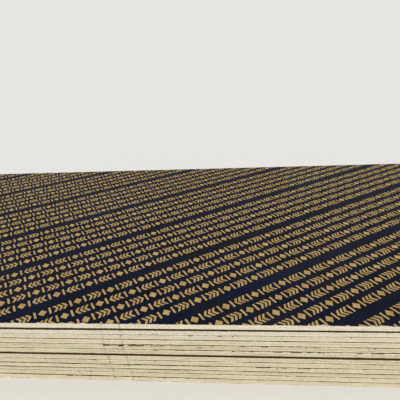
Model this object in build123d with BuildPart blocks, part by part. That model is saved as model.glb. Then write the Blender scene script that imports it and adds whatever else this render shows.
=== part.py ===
# A stack of film-faced plywood sheets, lying flat on each other and a little out of line.
# Millimetres. The origin is on the ground, at the middle of the stack's plan.
# +X runs along the sheets, +Y to the back of the stack, +Z up.
import os
from build123d import *

# Sheet: 8 ft by 4 ft, nominally 18 mm thick
sheet_length = 2440
sheet_width = 1220
sheet_thickness = 17.5
sheet_count = 12
corner_radius = 2
arris = 0.5
ply_count = 9
ply = sheet_thickness / ply_count

# How each sheet lies, from the top sheet down, against a stack in perfect line:
# how far it stands out at the front, how far it is pushed to the right, and its skew in degrees
lies = [
    (0.0, 0.0, 0.0),
    (2.1, -3.5, 0.05),
    (0.8, 2.0, -0.04),
    (0.7, 1.0, -0.02),
    (0.6, -2.5, -0.07),
    (0.0, 4.0, -0.10),
    (4.9, -6.0, -0.11),
    (4.0, 3.0, -0.15),
    (2.3, -2.0, -0.23),
    (-1.7, 5.0, -0.31),
    (-2.2, -4.5, -0.37),
    (-3.3, 1.5, -0.22),
]

# Core gaps: open joints between the strips of one veneer, seen as slots in a sheet's front edge.
# For each sheet, counted from the top: the slot's middle along the sheet, its length,
# its first ply from the top face and the number of plies that it runs through
core_gap_depth = 9
core_gaps = {
    3: [(114, 12, 2, 1), (191, 14, 2, 1)],
    5: [(-117, 18, 2, 2), (-74, 14, 2, 3), (-37, 38, 2, 1), (140, 16, 5, 1), (312, 20, 2, 1), (449, 20, 2, 1)],
    6: [(389, 30, 2, 1), (552, 16, 2, 1), (596, 34, 2, 1)],
    8: [(-160, 14, 2, 1)],
    9: [(-318, 32, 2, 1), (-134, 20, 2, 1), (52, 50, 2, 1), (150, 32, 2, 1), (419, 34, 2, 1)],
    12: [(-246, 20, 2, 1), (-184, 12, 2, 1), (96, 12, 2, 1)],
}

os.makedirs("parts", exist_ok=True)

for number in range(1, sheet_count + 1):
    stands_out, pushed_right, skew = lies[(number - 1) % len(lies)]
    underside = (sheet_count - number) * sheet_thickness
    bed = Plane(origin=(pushed_right, -stands_out, underside)).rotated((0, 0, skew))
    front_edge = Plane(
        origin=bed.from_local_coords((0, -sheet_width / 2, sheet_thickness)),
        x_dir=bed.x_dir,
        z_dir=-bed.y_dir,
    )

    with BuildPart() as sheet:
        with BuildSketch(bed):
            RectangleRounded(sheet_length, sheet_width, corner_radius)
        extrude(amount=sheet_thickness)
        faces_up_and_down = sheet.faces().filter_by(Axis.Z)
        chamfer(faces_up_and_down.edges(), arris)

        for middle, length, first_ply, plies in core_gaps.get(number, []):
            gap_top = (first_ply - 1) * ply
            with BuildSketch(front_edge):
                with Locations((middle, -gap_top)):
                    Rectangle(length, plies * ply, align=(Align.CENTER, Align.MAX))
            extrude(amount=-core_gap_depth, mode=Mode.SUBTRACT)

    sheet.part.label = f"sheet_{number:02d}"
    export_step(sheet.part, f"parts/{sheet.part.label}.step")
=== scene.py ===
import math

import bpy
import numpy as np
from mathutils import Euler, Matrix, Vector
from mathutils.geometry import delaunay_2d_cdt


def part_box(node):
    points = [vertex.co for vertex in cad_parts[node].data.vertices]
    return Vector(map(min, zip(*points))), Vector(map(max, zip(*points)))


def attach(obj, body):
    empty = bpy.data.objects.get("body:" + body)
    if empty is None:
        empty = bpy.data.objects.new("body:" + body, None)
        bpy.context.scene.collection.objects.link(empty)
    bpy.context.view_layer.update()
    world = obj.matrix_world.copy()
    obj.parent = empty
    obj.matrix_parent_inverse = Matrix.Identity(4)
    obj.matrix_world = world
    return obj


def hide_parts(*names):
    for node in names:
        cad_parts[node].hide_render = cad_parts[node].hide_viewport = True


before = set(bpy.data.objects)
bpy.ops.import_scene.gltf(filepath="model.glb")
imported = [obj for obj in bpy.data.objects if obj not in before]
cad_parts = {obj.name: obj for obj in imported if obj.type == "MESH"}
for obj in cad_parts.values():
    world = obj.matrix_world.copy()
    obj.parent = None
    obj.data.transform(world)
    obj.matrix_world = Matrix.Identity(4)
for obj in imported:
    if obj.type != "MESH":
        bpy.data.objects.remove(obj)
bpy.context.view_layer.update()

# The sheets, with their sizes from the top one, which lies in line with the frame. Joints between
# the plies are counted from the underside, as is the one under the second veneer from the top
sheet_count = len(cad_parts)
top_low, top_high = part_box("sheet_01")
sheet_length, sheet_width, sheet_thickness = top_high - top_low
stack_height = top_high.z
around_sheet = 2 * (sheet_length + sheet_width)
ply_count = 9
ply = sheet_thickness / ply_count
second_veneer_joint = ply_count - 2
corner_radius = 0.002

# How finely the edges are modelled: the distance from one point to the next, on the front edge and
# on the other three, the points on a corner's arc, and how near one may come to a core gap's end
front_step = 0.0022
other_step = 0.0048
corner_steps = 3
closest_points = 0.0007

# Places that are nearer to each other than this count as the same
exact = 1e-6

# Dark line between two sheets, from the top one down. It is partly the films' rims and worn arrises,
# and partly painted shade of the gap between the sheets. Listed: its height at the left and right ends
# of the stack, and how much it comes and goes along it, from 0 to 1. It does so in waves of three
# lengths, each with its share
joint_lines = [
    (0.0076, 0.0038, 0.12),
    (0.0004, 0.0008, 0.90),
    (0.0027, 0.0019, 0.30),
    (0.0018, 0.0016, 0.60),
    (0.0018, 0.0025, 0.55),
    (0.0032, 0.0036, 0.12),
    (0.0021, 0.0010, 0.60),
    (0.0034, 0.0018, 0.45),
    (0.0034, 0.0024, 0.35),
    (0.0018, 0.0010, 0.50),
    (0.0048, 0.0012, 0.30),
]
line_waves = (0.012, 0.045, 0.160)
line_waves_share = (0.5, 0.8, 0.6)

# Besides the worn arrises, the films' rims and the painted shade of the gap, the line takes in the step
# from one sheet's front edge to the next. This share of the step shows, from above the front. Where the
# lower sheet stands out, its film shows on the ledge and the arrises are shallower by as much. Where the
# sheet over it overhangs, painted shade reaches this much further down the lower sheet's edge
shown_step = 0.95

# Arrises: how high the stack's outer ones are, and the least and the most worn ones between two
# sheets, and how far in they reach: this far, and this share of their height further
outer_arris = 0.0005
least_arris, deepest_arris = 0.00025, 0.88 * ply
arris_reach, arris_slope = 0.0002, 0.45

# Sawn sides: how deep the saw's relief is, how far the joints between the plies stray up or down,
# and how long the waves of both are
saw_relief, saw_wave = 0.00022, 0.004
ply_stray, ply_wave = 0.00012, 0.050

# Chips in the films' rims, from the smallest to the largest: how long they are, how far they reach
# into the film, and how far they drop down the edge. The stack's top rim has many, and all other
# rims have a few, with a share of that reach and drop
chip_length = (0.003, 0.022)
chip_reach = (0.0004, 0.0036)
chip_drop = (0.0002, 0.0013)
chips_per_metre = {"outer": 30, "between": 1}
chip_share = {"outer": 1.0, "between": 0.25}

# Core gaps, the open joints between the strips of one veneer. The large ones in the front edge are
# cut into the solids: for each sheet, the slot's middle along it, its length, its first ply from
# the top face, and how many plies it runs through
core_gaps = {
    3: [(0.114, 0.012, 2, 1), (0.191, 0.014, 2, 1)],
    5: [
        (-0.117, 0.018, 2, 2),
        (-0.074, 0.014, 2, 3),
        (-0.037, 0.038, 2, 1),
        (0.140, 0.016, 5, 1),
        (0.312, 0.020, 2, 1),
        (0.449, 0.020, 2, 1),
    ],
    6: [(0.389, 0.030, 2, 1), (0.552, 0.016, 2, 1), (0.596, 0.034, 2, 1)],
    8: [(-0.160, 0.014, 2, 1)],
    9: [
        (-0.318, 0.032, 2, 1),
        (-0.134, 0.020, 2, 1),
        (0.052, 0.050, 2, 1),
        (0.150, 0.032, 2, 1),
        (0.419, 0.034, 2, 1),
    ],
    12: [(-0.246, 0.020, 2, 1), (-0.184, 0.012, 2, 1), (0.096, 0.012, 2, 1)],
}
core_gap_depth = 0.009

# Slight gaps in the second veneer of the front edges: each one's middle and its length
slight_gaps = {
    3: [(-0.073, 0.005), (0.226, 0.005), (0.527, 0.005)],
    5: [(-0.004, 0.006), (0.036, 0.004), (0.174, 0.008), (0.255, 0.018), (0.421, 0.006), (0.594, 0.008)],
    6: [(0.013, 0.012), (0.224, 0.008), (0.274, 0.008), (0.341, 0.024), (0.424, 0.014), (0.454, 0.020)],
    8: [(0.011, 0.006)],
    9: [
        (-0.366, 0.020),
        (-0.234, 0.012),
        (-0.034, 0.020),
        (0.101, 0.022),
        (0.310, 0.040),
        (0.347, 0.005),
        (0.367, 0.015),
        (0.575, 0.005),
    ],
    11: [(-0.208, 0.005), (-0.173, 0.008), (0.607, 0.008)],
    12: [(0.031, 0.008), (0.292, 0.014), (0.559, 0.006)],
}
slight_gap_depth = 0.006

# Slight gaps by chance in the other sides, which the photograph doesn't show: how long they are, how
# many may come on a side, how far from its ends they may start, and how far they keep apart. They
# open in the veneers over these joints, which show end grain there
chance_gap_length = (0.004, 0.016)
chance_gaps_per_side = 4
gap_from_end = 0.05
gap_clearance = 0.010
long_side_joints, short_side_joints = (1, 3, 5, 7), (2, 4, 6)

# How far a gap's ragged back comes forward at most, as a share of the gap's depth
gap_ragged = 0.2

# Chance: the first number that it grows from, for the sheets and for the lines between them
sheet_chance, line_chance = 100, 500

# How light each sheet's edges are, and how far they are bleached, from the top sheet down
tones = [0.96, 0.90, 0.93, 1.00, 0.94, 1.04, 0.95, 0.98, 1.02, 0.96, 0.99, 1.05]
bleach = [0.40, 0.40, 0.20, 0.05, 0.0, 0.0, 0.0, 0.0, 0.0, 0.0, 0.0, 0.0]

# How light the streaks of the saw marks are, from the dark ones to the light ones
saw_tones = (0.93, 1.04)

# How far the patterns on the edges move from one sheet to the next, so that no two look the same
sheet_shift = 3.7

# Glue lines: how far they reach from their joint, in plies, where they are thin and thick, the share
# of that on which they don't fade, and how strong they are
thin_glue, thick_glue = 0.06, 0.34
solid_glue = 0.4
glue_strength = 0.75

# Stains of the sawn edges: the share of the wood's colour that each takes where it is strongest,
# and for the dirt also where it is weakest
pink_strength, green_strength = 0.30, 0.55
outer_veneer_strength = 0.75
least_dirt, most_dirt = 0.25, 0.85
torn_strength = 0.80

# How far from the rim the outer veneers' white and the dirt start and end to fade, in plies
outer_veneer_fade = (0.7, 2.6)
dirt_fade = (0.4, 1.8)

# Dark rims, the films' rims with painted shade of the gaps and overhangs: how far their ragged border
# strays, and where they fade, from outside that border to inside it, in plies
rims_ragged = 0.32
rims_fade = (-0.12, 0.10)

# Print: bands of plain marks in gold ink that run slantwise over the film, from rim to rim, in
# groups with a bare lane between them
bands_turn = 33.5
bands_in_group = 5
band_pitch = 0.0470
lane_width = 0.020
mark_height = 0.029
mark_gap = 0.0054
bar_width = 0.0060
lozenge_width = 0.024
chevron_width, chevron_point = 0.0070, 0.0090
chevrons_together = 3

# Marker strokes down the front edges: where each starts, the sheets that it crosses from the top
# sheet down, how far it drifts to the right on its way, and how strong it is
marker_strokes = [
    (-0.125, 1, 6, 0.000, 0.55),
    (-0.074, 1, 6, 0.000, 0.75),
    (-0.117, 7, 12, 0.004, 0.95),
    (-0.066, 7, 12, 0.006, 1.00),
]

# Their ink: how far from a stroke's middle it starts and ends to fade, how shaky the stroke is, and
# how strong the ink is where it skips and where it doesn't
stroke_fade = (0.0014, 0.0038)
stroke_shake = 0.0014
skipping_ink, full_ink = 0.10, 0.62

# Splintered stretches of the front edges, stained brown: for each one, its sheet, where it starts
# and ends, and how brown it is
splintered_stretches = [
    (5, -0.126, -0.078, 0.60),
    (5, -0.062, -0.010, 0.95),
    (5, -0.004, 0.046, 0.60),
    (5, 0.058, 0.100, 0.40),
]

# They lie round the joint under the second veneer. In plies, they start and end to fade this far
# from it, and their ragged border strays this far. In metres, they fade this far before their ends
splinter_fade = (0.9, 1.4)
splinter_ragged = 0.5
stretch_fade = 0.006

# Film: its gloss, its roughness from the smooth patches to the dull ones, the share of its colour
# that specks of dust take, from the clean patches to the dusty ones, and how much more of that lies
# evenly. Then the share that scuffs take, and the share of the ink that pinholes take
film_gloss = 0.035
film_roughness = (0.44, 0.58)
film_dustiness = (0.01, 0.13)
even_dust = 0.25
scuff_strength = 0.35
pinhole_strength = 0.60

# How deep the fine bumps of the finishes are
edge_bumps, gap_bumps = 0.0002, 0.0005
film_bumps, covered_film_bumps = 0.00006, 0.0001

# Floor and light
floor_size = 80.0
sky_strength = 0.70
lamp_strength, lamp_spread = 1.75, 30.0
lamp_tilt, lamp_turn = 50.0, -28.0

# Camera, where the photograph was taken from. Its lens and sensor are in millimetres
camera_place = Vector((0.244, -1.4253, 0.9243))
camera_left, camera_down, camera_roll = 5.74, 23.71, -3.42
camera_lens, camera_sensor = 35.94, 36.0


# Colours

def srgb(red, green, blue):
    """A colour written as 0 to 255, as the shaders' linear RGBA."""
    shares = [channel / 255 for channel in (red, green, blue)]
    linear = [s / 12.92 if s <= 0.04045 else ((s + 0.055) / 1.055) ** 2.4 for s in shares]
    return (*linear, 1.0)


long_grain_light, long_grain_dark = srgb(243, 233, 209), srgb(219, 208, 176)
end_grain_light, end_grain_dark = srgb(221, 210, 181), srgb(178, 163, 128)
outer_veneer = srgb(254, 244, 216)
bleached_wood = srgb(251, 245, 231)
glue_line = srgb(122, 98, 52)
pink_tint, green_tint = srgb(232, 212, 186), srgb(214, 214, 172)
# The joints' dark brown is partly the films' rims and partly painted shade of the gaps and overhangs
rim_dirt, joint_brown_and_shade = srgb(156, 126, 54), srgb(64, 48, 10)
# Core gaps' wood: its dark is partly the core wood's colour and partly painted shade of the gap's depth
shaded_gap_wood_light, shaded_gap_wood_dark = srgb(70, 53, 26), srgb(28, 20, 9)
film_navy, film_black = srgb(9, 17, 41), srgb(6, 12, 28)
film_dust, film_scuff = srgb(112, 100, 82), srgb(74, 70, 66)
splinter_brown = srgb(112, 90, 44)
covered_film, sawdust = srgb(56, 41, 8), srgb(112, 88, 36)
ink_gold, ink_ochre = srgb(190, 161, 103), srgb(167, 137, 80)
marker_green = srgb(102, 146, 82)
floor_pale = srgb(232, 230, 226)
sky_pale = srgb(244, 244, 243)
backdrop_pale = srgb(231, 229, 225)


# Material nodes

class Finish:
    """A material, with short ways to add the nodes that the finishes here use."""

    def __init__(self, name):
        self.material = bpy.data.materials.new(name)
        self.material.use_nodes = True
        self.tree = self.material.node_tree
        self.shader = self.tree.nodes["Principled BSDF"]

    def give(self, socket, value):
        """Gives a socket another node's output, or a fixed value."""
        if isinstance(value, bpy.types.NodeSocket):
            self.tree.links.new(value, socket)
        else:
            socket.default_value = value

    def feed(self, socket, value):
        """Gives a socket of the shader its value."""
        self.give(self.shader.inputs[socket], value)

    def add(self, kind, inputs, output=0, **settings):
        """Adds a node, and returns one of its outputs."""
        node = self.tree.nodes.new(kind)
        for name, value in settings.items():
            setattr(node, name, value)
        for socket, value in inputs.items():
            self.give(node.inputs[socket], value)
        return node.outputs[output]

    def maths(self, operation, a, b=0.0):
        return self.add("ShaderNodeMath", {0: a, 1: b}, operation=operation)

    def plus(self, a, b):
        return self.maths("ADD", a, b)

    def minus(self, a, b):
        return self.maths("SUBTRACT", a, b)

    def times(self, a, b):
        return self.maths("MULTIPLY", a, b)

    def apart(self, a, b):
        """How far apart two numbers are."""
        return self.maths("ABSOLUTE", self.minus(a, b))

    def split(self, vector):
        parts = self.add("ShaderNodeSeparateXYZ", {0: vector}).node
        return parts.outputs[0], parts.outputs[1], parts.outputs[2]

    def join(self, x, y, z):
        return self.add("ShaderNodeCombineXYZ", {0: x, 1: y, 2: z})

    def place(self):
        """The place on the object, as its x, y and z."""
        return self.split(self.add("ShaderNodeTexCoord", {}, "Object"))

    def value_of(self, attribute):
        return self.add("ShaderNodeAttribute", {}, "Fac", attribute_name=attribute)

    def noise(self, place, scale, detail=2.0):
        """Noise over three coordinates, each with its own scale."""
        vector = self.join(*(self.times(c, s) for c, s in zip(place, scale)))
        return self.add("ShaderNodeTexNoise", {"Vector": vector, "Scale": 1.0, "Detail": detail})

    def ramp(self, value, low, high, out_low=0.0, out_high=1.0):
        """A soft step from out_low to out_high while the value goes from low to high."""
        inputs = {"Value": value, 1: low, 2: high, 3: out_low, 4: out_high}
        return self.add("ShaderNodeMapRange", inputs, interpolation_type="SMOOTHSTEP")

    def mix(self, share, a, b):
        """Colour a, with a share of colour b over it."""
        return self.add("ShaderNodeMix", {0: share, 6: a, 7: b}, 2, data_type="RGBA")

    def toned(self, colour, tone):
        """The colour times a grey tone."""
        inputs = {0: 1.0, 6: colour, 7: self.join(tone, tone, tone)}
        return self.add("ShaderNodeMix", inputs, 2, data_type="RGBA", blend_type="MULTIPLY")

    def bump(self, height, distance):
        """Bumps of this depth where the height goes from 0 to 1."""
        inputs = {"Strength": 1.0, "Distance": distance, "Height": height}
        self.feed("Normal", self.add("ShaderNodeBump", inputs))


# Finish of the sawn edges

def plies(finish, spot):
    """The veneers, along and across in turn, and the glue lines between them.

    Returns their colour, the share of glue, and the pores of the end grain."""
    along, height, sheet = spot
    crosswise = finish.maths("MODULO", finish.maths("FLOOR", height), 2.0)
    end_grain = finish.apart(crosswise, finish.value_of("short_side"))
    streaks = finish.noise(spot, (14.0, 3.1, 1.0), 5.0)
    long_grain = finish.mix(finish.ramp(streaks, 0.3, 0.7), long_grain_light, long_grain_dark)
    pores = finish.noise(spot, (620.0, 1.3, 1.0), 3.0)
    cross_grain = finish.mix(finish.ramp(pores, 0.3, 0.72), end_grain_light, end_grain_dark)
    colour = finish.mix(end_grain, long_grain, cross_grain)

    within = finish.maths("FRACT", height)
    off_joint = finish.maths("MINIMUM", within, finish.minus(1.0, within))
    joint = finish.maths("ROUND", height)
    uneven = finish.noise((along, joint, sheet), (11.0, 5.3, 1.7), 4.0)
    reach = finish.ramp(uneven, 0.45, 0.72, thin_glue, thick_glue)
    glue = finish.ramp(off_joint, finish.times(reach, solid_glue), reach, glue_strength, 0.0)
    return finish.mix(glue, colour, glue_line), glue, finish.times(pores, end_grain)


def weathered(finish, spot, colour):
    """The plies' colour with tints, whiter outer veneers, bleaching, dirt by the rims and torn grain,
    which is painted in the lighter of the core gaps' partly shaded colours.

    Returns that colour, and the share of torn grain."""
    _, height, _ = spot
    pink = finish.noise(spot, (5.0, 0.12, 1.0))
    colour = finish.mix(finish.ramp(pink, 0.50, 0.72, 0.0, pink_strength), colour, pink_tint)
    green = finish.noise(spot, (7.0, 0.10, 2.3))
    colour = finish.mix(finish.ramp(green, 0.52, 0.74, 0.0, green_strength), colour, green_tint)

    off_rim = finish.maths("MINIMUM", height, finish.minus(float(ply_count), height))
    white = finish.ramp(off_rim, *outer_veneer_fade, outer_veneer_strength, 0.0)
    colour = finish.mix(white, colour, outer_veneer)
    colour = finish.mix(finish.value_of("bleach"), colour, bleached_wood)
    patchy = finish.noise(spot, (24.0, 0.6, 1.0), 4.0)
    patchy = finish.ramp(patchy, 0.30, 0.70, least_dirt, most_dirt)
    dirt = finish.times(finish.ramp(off_rim, *dirt_fade, 1.0, 0.0), patchy)
    colour = finish.mix(dirt, colour, rim_dirt)

    worst = finish.ramp(finish.noise(spot, (3.0, 0.5, 7.1)), 0.4, 0.65, 0.0, 0.06)
    torn = finish.plus(finish.noise(spot, (120.0, 1.3, 2.9), 3.0), worst)
    torn = finish.ramp(torn, 0.68, 0.74, 0.0, torn_strength)
    return finish.mix(torn, colour, shaded_gap_wood_light), torn


def splintered_share(finish, x, height):
    """How brown the splintered stretches of the front edges are."""
    sheet = finish.value_of("sheet_number")
    ragged = finish.noise((x, height, sheet), (130.0, 1.6, 1.0), 4.0)
    ragged = finish.ramp(ragged, 0.3, 0.7, -splinter_ragged, splinter_ragged)
    from_joint = finish.plus(finish.apart(height, float(second_veneer_joint)), ragged)
    total = 0.0
    for number, start, end, brown in splintered_stretches:
        from_middle = finish.apart(x, (start + end) / 2)
        half = (end - start) / 2
        stretch = finish.ramp(from_middle, half - stretch_fade, half, brown, 0.0)
        on_sheet = finish.maths("COMPARE", sheet, float(number))
        total = finish.plus(finish.times(stretch, on_sheet), total)
    return finish.times(finish.ramp(from_joint, *splinter_fade, 1.0, 0.0), total)


def marker_share(finish, x, z):
    """How much marker ink there is: thin broken strokes down the front edges."""
    shaky = finish.noise((x, z, 0.0), (8.0, 130.0, 1.0))
    x = finish.plus(x, finish.ramp(shaky, 0.2, 0.8, -stroke_shake, stroke_shake))
    total = 0.0
    for start, first, last, drift, strength in marker_strokes:
        top = stack_height - (first - 1) * sheet_thickness
        bottom = stack_height - last * sheet_thickness
        drifted = finish.times(finish.minus(z, top), drift / (bottom - top))
        off_middle = finish.apart(x, finish.plus(drifted, start))
        stroke = finish.ramp(off_middle, *stroke_fade, strength, 0.0)
        above = finish.maths("GREATER_THAN", z, bottom)
        below = finish.maths("LESS_THAN", z, top)
        total = finish.plus(finish.times(stroke, finish.times(above, below)), total)
    skips = finish.noise((x, z, 3.0), (20.0, 150.0, 1.0))
    return finish.times(total, finish.ramp(skips, 0.38, 0.58, skipping_ink, full_ink))


def rims_and_painted_shade(finish, spot):
    """Where the edge is painted dark next to another sheet, with a ragged border: the films' rims, and
    painted shade of the gap and under overhangs.
    """
    _, height, _ = spot
    ragged = finish.noise(spot, (190.0, 1.1, 1.0), 3.0)
    ragged = finish.ramp(ragged, 0.25, 0.75, -rims_ragged, rims_ragged)
    from_top = finish.minus(float(ply_count), height)
    rims = 0.0
    for off_rim, dark in ((from_top, "dark_over"), (height, "dark_under")):
        inside = finish.minus(finish.value_of(dark), finish.plus(off_rim, ragged))
        rims = finish.maths("MAXIMUM", rims, finish.ramp(inside, *rims_fade))
    return rims


def sawn_edge_finish():
    """The sheets' sawn sides, with all that lies on them.

    A spot on them is how far round the sheet it lies, how high in plies, and its sheet's own shift."""
    finish = Finish("sawn_ply_edge")
    along, height, _ = finish.split(finish.add("ShaderNodeUVMap", {}, uv_map="edge"))
    spot = along, height, finish.times(finish.value_of("sheet_number"), sheet_shift)
    colour, glue, pores = plies(finish, spot)
    colour, torn = weathered(finish, spot, colour)
    saw_marks = finish.noise(spot, (210.0, 0.12, 1.0), 3.0)
    streaky = finish.ramp(saw_marks, 0.25, 0.75, *saw_tones)
    colour = finish.toned(colour, finish.times(streaky, finish.value_of("tone")))

    # Only the sides that face the front have splinters and marker strokes
    x, _, z = finish.place()
    _, facing_back, _ = finish.split(finish.add("ShaderNodeTexCoord", {}, "Normal"))
    front = finish.maths("LESS_THAN", facing_back, -0.5)
    stained = finish.times(splintered_share(finish, x, height), front)
    colour = finish.mix(stained, colour, splinter_brown)
    inked = finish.times(marker_share(finish, x, z), front)
    colour = finish.mix(inked, colour, marker_green)
    # Dark brown at the joints: the films' rims, and painted shade of the gap and under overhanging
    # sheets
    colour = finish.mix(rims_and_painted_shade(finish, spot), colour, joint_brown_and_shade)

    finish.feed("Base Color", colour)
    finish.feed("Roughness", 0.82)
    finish.feed("Specular IOR Level", 0.12)
    raised = finish.plus(saw_marks, pores)
    sunk = finish.plus(glue, finish.times(torn, 2.0))
    finish.bump(finish.minus(raised, sunk), edge_bumps)
    return finish.material


# The other finishes

def core_gap_shaded_finish():
    """Inside of a core gap: splintery wood, dark partly from the core wood's colour and partly from
    painted shade in the gap's depth.
    """
    finish = Finish("core_gap_wood_painted_shade")
    splinters = finish.noise(finish.place(), (300.0, 90.0, 900.0), 3.0)
    wood = finish.mix(finish.ramp(splinters, 0.3, 0.7), shaded_gap_wood_light, shaded_gap_wood_dark)
    finish.feed("Base Color", wood)
    finish.feed("Roughness", 0.9)
    finish.bump(splinters, gap_bumps)
    return finish.material


def film_surface(finish):
    """What the film and the ink on it share: their gloss and their bumps.

    Returns the film's colour, its dust, its scuffs, and the specks that it has all over."""
    place = finish.place()
    mottle = finish.noise(place, (9.0, 9.0, 9.0), 4.0)
    film = finish.mix(finish.ramp(mottle, 0.35, 0.65), film_navy, film_black)

    patches = finish.noise(place, (2.6, 3.4, 3.0), 3.0)
    specks = finish.noise(place, (640.0, 640.0, 640.0))
    dusty = finish.ramp(patches, 0.42, 0.75, *film_dustiness)
    dust = finish.times(finish.ramp(specks, 0.45, 0.8), dusty)
    dust = finish.plus(dust, finish.times(dusty, even_dust))

    scrapes = finish.noise(place, (2.5, 230.0, 1.0), 3.0)
    scuffed = finish.ramp(patches, 0.5, 0.7, 0.0, scuff_strength)
    scuffs = finish.times(finish.ramp(scrapes, 0.66, 0.78), scuffed)

    fibres = finish.noise(place, (260.0, 700.0, 300.0))
    finish.bump(finish.plus(fibres, finish.times(specks, 0.4)), film_bumps)
    finish.feed("Roughness", finish.ramp(patches, 0.3, 0.7, *film_roughness))
    finish.feed("Specular IOR Level", film_gloss)
    return film, dust, scuffs, specks


def film_finish():
    """Dark resin film, with dust and faint scuffs."""
    finish = Finish("dark_resin_film")
    film, dust, scuffs, _ = film_surface(finish)
    film = finish.mix(scuffs, film, film_scuff)
    finish.feed("Base Color", finish.mix(dust, film, film_dust))
    return finish.material


def ink_finish():
    """Gold ink on the film, a little uneven, with the film showing where it is worn through."""
    finish = Finish("gold_print_on_film")
    film, dust, scuffs, specks = film_surface(finish)
    uneven = finish.noise(finish.place(), (38.0, 38.0, 38.0), 5.0)
    gold = finish.mix(finish.ramp(uneven, 0.35, 0.7), ink_gold, ink_ochre)
    pinholes = finish.ramp(specks, 0.62, 0.72, 0.0, pinhole_strength)
    gold = finish.mix(finish.maths("MAXIMUM", pinholes, scuffs), gold, film)
    finish.feed("Base Color", finish.mix(dust, gold, film_dust))
    return finish.material


def covered_film_finish():
    """Film of the sheets under the top one, which shows only at their rims: brown with sawdust."""
    finish = Finish("covered_resin_film")
    specks = finish.noise(finish.place(), (420.0, 420.0, 420.0), 3.0)
    film = finish.mix(finish.ramp(specks, 0.52, 0.80, 0.0, 0.7), covered_film, sawdust)
    finish.feed("Base Color", film)
    finish.feed("Roughness", 0.7)
    finish.feed("Specular IOR Level", 0.1)
    finish.bump(specks, covered_film_bumps)
    return finish.material


# Shape of a sheet's edge

def wander(chance, wave, distance):
    """Smooth chance round a sheet, from -1 to 1, in waves of about this length."""
    values = chance.uniform(-1, 1, max(3, round(around_sheet / wave)))
    knots = np.arange(len(values)) * around_sheet / len(values)
    return np.interp(distance, knots, values, period=around_sheet)


def lie_of(number):
    """Where a sheet's middle is on plan with the height of its underside, and its skew."""
    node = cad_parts[f"sheet_{number:02d}"]
    low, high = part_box(node.name)
    middle = (low + high) / 2

    # A small skew shows in how much deeper the sheet's box is, and in which front corner is nearer
    skew = (high.y - low.y - sheet_width) / (sheet_length - 2 * corner_radius)
    nearest = min(node.data.vertices, key=lambda vertex: vertex.co.y).co
    turn = math.copysign(skew, middle.x - nearest.x)
    return Vector((middle.x, middle.y, low.z)), turn


def spaced(length, step, breaks):
    """Places along a side, about a step apart, with a place at each break."""
    fixed = np.array(sorted(breaks))
    even = np.linspace(0, length, max(2, round(length / step)) + 1)
    if len(fixed):
        clear = np.abs(even[:, None] - fixed).min(axis=1) > closest_points
        even = even[clear]
    return np.sort(np.concatenate([even, fixed]))


def outline(gaps):
    """Points round a sheet from its front left corner, anticlockwise.

    For each point: its place, its outward direction, its side and how far along that side it is."""
    straight = sheet_length - 2 * corner_radius, sheet_width - 2 * corner_radius
    places, outward, sides, along_side = [], [], [], []
    for side in range(4):
        along = straight[side % 2]
        breaks = [end for gap in gaps[side] for end in gap[:2]]
        steps = spaced(along, front_step if side == 0 else other_step, breaks)
        turn = Matrix.Rotation(side * math.pi / 2, 2)
        across = straight[(side + 1) % 2] / 2 + corner_radius
        for step in steps:
            places.append(turn @ Vector((step - along / 2, -across)))
            outward.append(turn @ Vector((0, -1)))
            sides.append(side)
            along_side.append(step)
        centre = turn @ Vector((along / 2, corner_radius - across))
        for corner in range(1, corner_steps + 1):
            angle = (side - 1 + corner / (corner_steps + 1)) * math.pi / 2
            way = Vector((math.cos(angle), math.sin(angle)))
            places.append(centre + corner_radius * way)
            outward.append(way)
            sides.append(side)
            along_side.append(math.inf)
    return np.array(places), np.array(outward), np.array(sides), np.array(along_side)


def gaps_of(number, chance):
    """Core gaps on each side of a sheet, as (start, end, lowest ply joint, highest ply joint, depth)."""
    gaps = [[], [], [], []]
    middle_of_front = sheet_length / 2 - corner_radius
    for middle, long, first, plies_cut in core_gaps.get(number, []):
        start, top = middle_of_front + middle - long / 2, ply_count - first + 1
        gaps[0].append((start, start + long, top - plies_cut, top, core_gap_depth))
    for middle, long in slight_gaps.get(number, []):
        start, joint = middle_of_front + middle - long / 2, second_veneer_joint
        gaps[0].append((start, start + long, joint, joint + 1, slight_gap_depth))
    for side in (1, 2, 3):
        length = (sheet_length, sheet_width)[side % 2] - 2 * corner_radius
        joints = (long_side_joints, short_side_joints)[side % 2]
        for _ in range(chance_gaps_per_side):
            long = chance.uniform(*chance_gap_length)
            start = chance.uniform(gap_from_end, length - gap_from_end)
            joint = int(chance.choice(joints))
            others = [(low - gap_clearance - long, high + gap_clearance) for low, high, *_ in gaps[side]]
            if not any(low < start < high for low, high in others):
                gaps[side].append((start, start + long, joint, joint + 1, slight_gap_depth))
    return gaps


def overhang(number, x, sides):
    """How far the sheet over this one stands out past its front edge, at each point round it."""
    if not 1 < number <= sheet_count:
        return np.zeros_like(x)
    front, front_over = (
        middle.y + turn * (x - middle.x)
        for middle, turn in (lie_of(number), lie_of(number - 1))
    )
    return np.where(sides == 0, front - front_over, 0.0)


def line_height(number, x, distance):
    """Height of the dark line over a sheet, at each point round it."""
    if not 1 < number <= sheet_count:
        return np.full_like(x, 2 * outer_arris)
    left, right, comes_and_goes = joint_lines[number - 2]
    chance = np.random.default_rng(line_chance + number)
    waves = [wander(chance, wave, distance) for wave in line_waves]
    wave = np.dot(line_waves_share, waves)
    return (left + (right - left) * (x / sheet_length + 0.5)) * (1 + comes_and_goes * wave)


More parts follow.
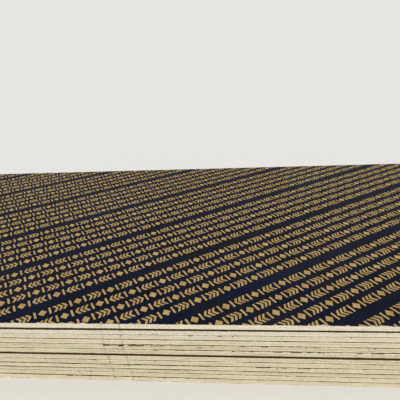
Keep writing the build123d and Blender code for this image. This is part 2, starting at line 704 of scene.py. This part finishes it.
def joint_over(number, x, distance, sides):
    """Height of the arrises between a sheet and the one over it, and how far down its edge is painted
    dark: the films' rims with painted shade of the gap, and painted shade under an overhanging sheet.

    Sheet 1 has none over it, and the number past the last sheet's stands for the ground."""
    past = overhang(number, x, sides)
    line = line_height(number, x, distance)
    worn = np.clip((line - shown_step * np.maximum(-past, 0)) / 2, least_arris, deepest_arris)
    # Where the sheet over this one overhangs, painted shade reaches further down this sheet's edge
    return worn, np.maximum(line / 2, 0) + shown_step * np.maximum(past, 0)


def chips(chance, distance, place):
    """How far chips reach into the film and drop down the edge, at each point round the sheet.

    Most of them are small."""
    reach, drop = np.zeros_like(distance), np.zeros_like(distance)
    for _ in range(round(chips_per_metre[place] * around_sheet)):
        middle, long = chance.uniform(0, around_sheet), chance.uniform(*chip_length)
        size = chance.uniform() ** 2
        off = np.abs(distance - middle) / (long / 2)
        shape = chip_share[place] * np.clip(1 - off ** 2, 0, 1)
        reach = np.maximum(reach, shape * np.interp(size, (0, 1), chip_reach))
        drop = np.maximum(drop, shape * np.interp(size, (0, 1), chip_drop))
    return reach, drop


def edge_rows(number, chance, places, distance, sides):
    """Rows of points up the sides, from the underside's rim to the top face's.

    For each point: how far in it lies, how high, and how high counted in plies. For each place round
    the sheet: how far down from the top face, and up from the underside, its edge is painted dark,
    partly as shade, in plies."""
    reach, drop = chips(chance, distance, "outer" if number == 1 else "between")
    reach_under, drop_under = chips(chance, distance, "between")
    worn_over, dark_over = joint_over(number, places[:, 0], distance, sides)
    worn_under, _ = joint_over(number + 1, places[:, 0], distance, sides)
    over = np.minimum(worn_over + drop, deepest_arris)
    under = np.minimum(worn_under + drop_under, deepest_arris)
    zero = np.zeros_like(distance)
    joints = range(1, ply_count)
    height = np.array([
        zero,
        under,
        *(joint * ply + ply_stray * wander(chance, ply_wave, distance) for joint in joints),
        sheet_thickness - over,
        sheet_thickness + zero,
    ])
    in_plies = np.array([
        zero,
        under / ply,
        *(zero + joint for joint in joints),
        ply_count - over / ply,
        zero + ply_count,
    ])
    inset = np.array([
        arris_reach + arris_slope * worn_under + reach_under,
        *(saw_relief * (1 + wander(chance, saw_wave, distance)) / 2 for _ in range(ply_count + 1)),
        arris_reach + arris_slope * worn_over + reach,
    ])
    dark_over = np.where(drop > chip_drop[0] / 2, 0.0, dark_over) / ply
    dark_under = np.where(drop_under > chip_drop[0] / 2, 0.0, worn_under) / ply
    return inset, height, in_plies, dark_over, dark_under


# Marks of the print

def bar(at):
    """The outline of an upright bar, and how much of the band it takes."""
    after = at + bar_width
    return [[(at, 0), (after, 0), (after, mark_height), (at, mark_height)]], bar_width


def lozenge(at):
    """The outline of a lozenge on its point, and how much of the band it takes."""
    middle, top, half = at + lozenge_width / 2, mark_height, mark_height / 2
    return [[(middle, 0), (at + lozenge_width, half), (middle, top), (at, half)]], lozenge_width


def chevrons(at):
    """The outlines of chevrons that point along the band, and how much of it they take."""
    outlines = []
    for number in range(chevrons_together):
        back = at + number * (chevron_width + mark_gap)
        tip, half = back + chevron_point, mark_height / 2
        outlines.append([
            (back, 0),
            (back + chevron_width, 0),
            (tip + chevron_width, half),
            (back + chevron_width, mark_height),
            (back, mark_height),
            (tip, half),
        ])
    return outlines, back + chevron_width + chevron_point - at


def unit_of_marks():
    """The outlines of the marks that a band repeats, from 0 along it, and how long they are."""
    unit, at = [], 0.0
    for kind in (bar, lozenge, bar, chevrons):
        outlines, width = kind(at)
        unit += outlines
        at += width + mark_gap
    return unit, at


def anticlockwise(points):
    """An outline's points, turned round if they run clockwise, which the filling can't take."""
    twice_area = sum(a.cross(b) for a, b in zip(points, points[1:] + points[:1]))
    return points if twice_area > 0 else points[::-1]


def printed_marks():
    """The marks all over a sheet, with every other band turned round."""
    unit, unit_length = unit_of_marks()
    turn = Matrix.Rotation(math.radians(bands_turn), 2)
    half = Vector((sheet_length, sheet_width)) / 2
    group_pitch = bands_in_group * band_pitch + lane_width
    groups = math.ceil(half.length / group_pitch)
    units = math.ceil(half.length / unit_length)
    marks = []
    for band in range(-groups * bands_in_group, groups * bands_in_group):
        base = band * band_pitch + band // bands_in_group * lane_width
        way = 1 if band % 2 == 0 else -1
        for number in range(-units, units):
            for points in unit:
                places = [
                    turn @ Vector((way * (number * unit_length + along), base + across))
                    for along, across in points
                ]
                if any(abs(place.x) < half.x and abs(place.y) < half.y for place in places):
                    marks.append(anticlockwise(places))
    return marks


# Building a sheet

# What is kept at each point for the finishes, which read the first two by the edge's own map
readings_kept = [
    "edge_along",
    "edge_height",
    "dark_over",
    "dark_under",
    "short_side",
    "sheet_number",
    "tone",
    "bleach",
]


class SheetMesh:
    """Points and faces of one sheet as they are added, with what its finishes read at each point."""

    def __init__(self):
        self.points, self.readings = [], []
        self.faces, self.finish_of = [], []

    def add_points(self, points, readings):
        """Adds points with their readings, and returns their numbers."""
        first = len(self.points)
        self.points += np.reshape(points, (-1, 3)).tolist()
        self.readings += np.reshape(readings, (-1, len(readings_kept))).tolist()
        return np.arange(first, len(self.points))

    def add_face(self, corners, finish):
        self.faces.append([int(corner) for corner in corners])
        self.finish_of.append(finish)


def cut_gap(mesh, numbers, outward, rows, columns, depth, chance):
    """Walls and back of a core gap, behind the edge's points between two rows and two columns."""
    (low, high), (left, right) = rows, columns
    rim = numbers[low:high + 1, left:right + 1]
    places = np.array([mesh.points[number] for number in rim.flat]).reshape(*rim.shape, 3)
    deep = depth * (1 - gap_ragged * chance.uniform(0, 1, rim.shape))
    places[..., :2] -= outward[left:right + 1] * deep[..., None]
    readings = np.array([mesh.readings[number] for number in rim.flat])
    back = mesh.add_points(places, readings).reshape(rim.shape)
    up, on = rim.shape[0] - 1, rim.shape[1] - 1
    for row in range(up):
        for column in range(on):
            cell = back[row:row + 2, column:column + 2]
            mesh.add_face([cell[0, 0], cell[0, 1], cell[1, 1], cell[1, 0]], "gap")
        mesh.add_face([rim[row, 0], back[row, 0], back[row + 1, 0], rim[row + 1, 0]], "gap")
        mesh.add_face([rim[row, on], rim[row + 1, on], back[row + 1, on], back[row, on]], "gap")
    for column in range(on):
        after = column + 1
        mesh.add_face([rim[0, column], rim[0, after], back[0, after], back[0, column]], "gap")
        mesh.add_face([rim[up, after], rim[up, column], back[up, column], back[up, after]], "gap")


def cut_gaps(mesh, numbers, outward, sides, along_side, gaps, chance):
    """Cuts a sheet's core gaps, and returns the cells of its sides that they leave open."""
    open_cells = set()
    for side in range(4):
        for start, end, low, high, depth in gaps[side]:
            held = (sides == side) & (along_side > start - exact) & (along_side < end + exact)
            left, right = np.flatnonzero(held)[[0, -1]]
            rows = low + 1, high + 1
            cut_gap(mesh, numbers, outward, rows, (left, right), depth, chance)
            open_cells |= {(row, column) for row in range(*rows) for column in range(left, right)}
    return open_cells


def rim_columns(points, rim):
    """For each point, the number of the rim's line that it lies on, or -1, and how far along it."""
    start, step = rim, np.roll(rim, -1, axis=0) - rim
    long = np.hypot(*step.T)
    from_start = points[:, None] - start
    along = (from_start * step).sum(axis=2) / long ** 2
    off = np.abs(from_start[..., 0] * step[:, 1] - from_start[..., 1] * step[:, 0]) / long
    on_line = (off < exact) & (along > 0) & (along < 1)
    column = on_line.argmax(axis=1)
    return np.where(on_line.any(axis=1), column, -1), along[np.arange(len(points)), column]


def add_flat_face(mesh, rim, numbers, height, marks, plain):
    """Fills a sheet's rim with flat triangles of the plain finish, and inlays the marks in ink.

    Returns the points that the marks add on the rim, in order, for each of its lines."""
    shapes = [rim, *marks]
    places = [Vector(place) for shape in shapes for place in shape]
    starts = np.cumsum([0] + [len(shape) for shape in shapes])
    faces = [list(range(first, last)) for first, last in zip(starts, starts[1:])]

    # A result of kind 1 holds the triangles inside the shapes, and for each one the shapes it is in
    kind, nearest = 1, exact / 10
    places, _, corners, origins, _, inside = delaunay_2d_cdt(places, [], faces, kind, nearest)
    places = np.array(places)

    # The rim is shape 0: triangles outside it go, and so do points that none of the others use. A
    # point's origins are the given places that it stands for, of which the rim's come first
    held = [(corner, shapes_of) for corner, shapes_of in zip(corners, inside) if 0 in shapes_of]
    used = sorted({i for corner, _ in held for i in corner})
    on_rim = {i: min(origins[i], default=len(rim)) for i in used}
    new = [i for i in used if on_rim[i] >= len(rim)]
    number_of = {i: numbers[on_rim[i]] for i in used if on_rim[i] < len(rim)}
    if new:
        added = np.column_stack([places[new], np.full(len(new), height)])
        flat_readings = np.zeros((len(new), len(readings_kept)))
        number_of.update(zip(new, mesh.add_points(added, flat_readings)))
    for corner, shapes_of in held:
        inked = len(shapes_of) % 2 == 0
        mesh.add_face([number_of[i] for i in corner], "ink" if inked else plain)

    # A new point that is no mark's corner is where a mark crosses the rim or another mark
    crossings = [i for i in new if not origins[i]]
    between = {}
    if crossings:
        columns, along = rim_columns(places[crossings], np.array(rim))
        for column, _, i in sorted(zip(columns, along, crossings)):
            between.setdefault(column, []).append(number_of[i])
    return between


def add_sides(mesh, numbers, between, open_cells):
    """Fills the sides between the rows of points, up to those that the print adds on the top rim."""
    rows, columns = numbers.shape
    for row in range(rows - 1):
        for column in range(columns):
            if (row, column) not in open_cells:
                after = (column + 1) % columns
                added = between.get(column, []) if row == rows - 2 else []
                above = [numbers[row + 1, after], *added[::-1], numbers[row + 1, column]]
                mesh.add_face([numbers[row, column], numbers[row, after], *above], "edge")


def write_mesh(name, mesh, finishes):
    """A Blender object from the collected points and faces, with its finishes and their readings."""
    data = bpy.data.meshes.new(name)
    data.from_pydata(mesh.points, [], mesh.faces)
    kinds = sorted(set(mesh.finish_of))
    for kind in kinds:
        data.materials.append(finishes[kind])
    data.polygons.foreach_set("material_index", [kinds.index(kind) for kind in mesh.finish_of])
    readings = np.array(mesh.readings)
    for number, reading in enumerate(readings_kept):
        attribute = data.attributes.new(reading, "FLOAT", "POINT")
        attribute.data.foreach_set("value", readings[:, number].astype(np.float32))
    piece = bpy.data.objects.new(name, data)
    bpy.context.scene.collection.objects.link(piece)
    return piece


def write_edge_map(data, readings):
    """The edge's own map: how far round the sheet, and how high in plies."""
    corner = np.empty(len(data.loops), int)
    data.loops.foreach_get("vertex_index", corner)
    starts = np.empty(len(data.polygons), int)
    data.polygons.foreach_get("loop_start", starts)
    sizes = np.diff([*starts, len(corner)])
    along, height = readings[corner, 0], readings[corner, 1]

    # The last faces round the sheet end at its first points, so the count goes on there
    furthest = np.repeat(np.maximum.reduceat(along, starts), sizes)
    along = np.where(furthest - along > around_sheet / 2, along + around_sheet, along)
    layer = data.uv_layers.new(name="edge")
    layer.data.foreach_set("uv", np.column_stack([along, height]).ravel().astype(np.float32))


def sheet_piece(number, finishes, marks):
    """One sheet, with sawn edges, core gaps, chipped film and its print."""
    chance = np.random.default_rng(sheet_chance + number)
    gaps = gaps_of(number, chance)
    places, outward, sides, along_side = outline(gaps)
    distance = np.cumsum(np.hypot(*np.diff(places, axis=0, prepend=places[:1]).T))
    inset, height, in_plies, dark_over, dark_under = edge_rows(number, chance, places, distance, sides)
    ring = np.dstack([places - outward * inset[..., None], height])

    # In the order of readings_kept
    readings = np.empty((*inset.shape, len(readings_kept)))
    of_sheet = number, tones[number - 1], bleach[number - 1]
    for index, reading in enumerate((distance, in_plies, dark_over, dark_under, sides % 2, *of_sheet)):
        readings[..., index] = reading

    mesh = SheetMesh()
    numbers = mesh.add_points(ring, readings).reshape(inset.shape)
    open_cells = cut_gaps(mesh, numbers, outward, sides, along_side, gaps, chance)
    upper = "film" if number == 1 else "covered_film"
    between = add_flat_face(mesh, ring[-1, :, :2], numbers[-1], sheet_thickness, marks, upper)
    first_under = len(mesh.faces)
    add_flat_face(mesh, ring[0, :, :2], numbers[0], 0.0, [], "covered_film")
    for face in mesh.faces[first_under:]:
        face.reverse()
    add_sides(mesh, numbers, between, open_cells)

    middle, turn = lie_of(number)
    piece = write_mesh(f"plywood_sheet_{number:02d}", mesh, finishes)
    write_edge_map(piece.data, np.array(mesh.readings))
    piece.data.transform(Matrix.Translation(middle) @ Matrix.Rotation(turn, 4, "Z"))
    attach(piece, "root")
    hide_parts(f"sheet_{number:02d}")


# Stage, light and camera

def pale_floor():
    """A plain pale floor, wide enough to run to the horizon."""
    bpy.ops.mesh.primitive_plane_add(size=floor_size)
    floor = bpy.context.object
    floor.name = "floor"
    finish = Finish("pale_floor")
    finish.feed("Base Color", floor_pale)
    finish.feed("Roughness", 0.9)
    finish.feed("Specular IOR Level", 0.2)
    floor.data.materials.append(finish.material)


def pale_sky():
    """Even light from a pale sky, which shows as a pale backdrop to the camera and in reflections."""
    world = bpy.data.worlds.new("pale_sky")
    world.use_nodes = True
    tree = world.node_tree
    sky = tree.nodes["Background"]
    sky.inputs["Color"].default_value = sky_pale
    sky.inputs["Strength"].default_value = sky_strength
    backdrop = tree.nodes.new("ShaderNodeBackground")
    backdrop.inputs["Color"].default_value = backdrop_pale
    rays = tree.nodes.new("ShaderNodeLightPath").outputs
    seen = rays["Is Camera Ray"]
    for ray in ("Is Glossy Ray", "Is Transmission Ray"):
        either = tree.nodes.new("ShaderNodeMath")
        either.operation = "MAXIMUM"
        tree.links.new(seen, either.inputs[0])
        tree.links.new(rays[ray], either.inputs[1])
        seen = either.outputs[0]
    shown = tree.nodes.new("ShaderNodeMixShader")
    tree.links.new(seen, shown.inputs[0])
    tree.links.new(sky.outputs[0], shown.inputs[1])
    tree.links.new(backdrop.outputs[0], shown.inputs[2])
    tree.links.new(shown.outputs[0], tree.nodes["World Output"].inputs["Surface"])
    bpy.context.scene.world = world


def soft_lamp():
    """One broad soft lamp, from the front left."""
    lamp = bpy.data.lights.new("soft_key", "SUN")
    lamp.energy = lamp_strength
    lamp.angle = math.radians(lamp_spread)
    holder = bpy.data.objects.new("soft_key", lamp)
    holder.rotation_euler = Euler((math.radians(lamp_tilt), 0, math.radians(lamp_turn)))
    bpy.context.scene.collection.objects.link(holder)


def photo_camera():
    """The camera, where the photograph was taken from."""
    camera = bpy.data.cameras.new("photo_camera")
    camera.lens, camera.sensor_width = camera_lens, camera_sensor
    holder = bpy.data.objects.new("photo_camera", camera)
    aim = Euler((math.radians(90 - camera_down), 0, math.radians(camera_left))).to_matrix().to_4x4()
    roll = Matrix.Rotation(math.radians(camera_roll), 4, "Z")
    holder.matrix_world = Matrix.Translation(camera_place) @ aim @ roll
    bpy.context.scene.collection.objects.link(holder)
    bpy.context.scene.camera = holder


photo_camera()
finishes = {
    "edge": sawn_edge_finish(),
    "gap": core_gap_shaded_finish(),
    "film": film_finish(),
    "covered_film": covered_film_finish(),
    "ink": ink_finish(),
}
for number in range(1, sheet_count + 1):
    sheet_piece(number, finishes, printed_marks() if number == 1 else [])
pale_floor()
pale_sky()
soft_lamp()
bpy.context.scene.view_settings.view_transform = "Standard"
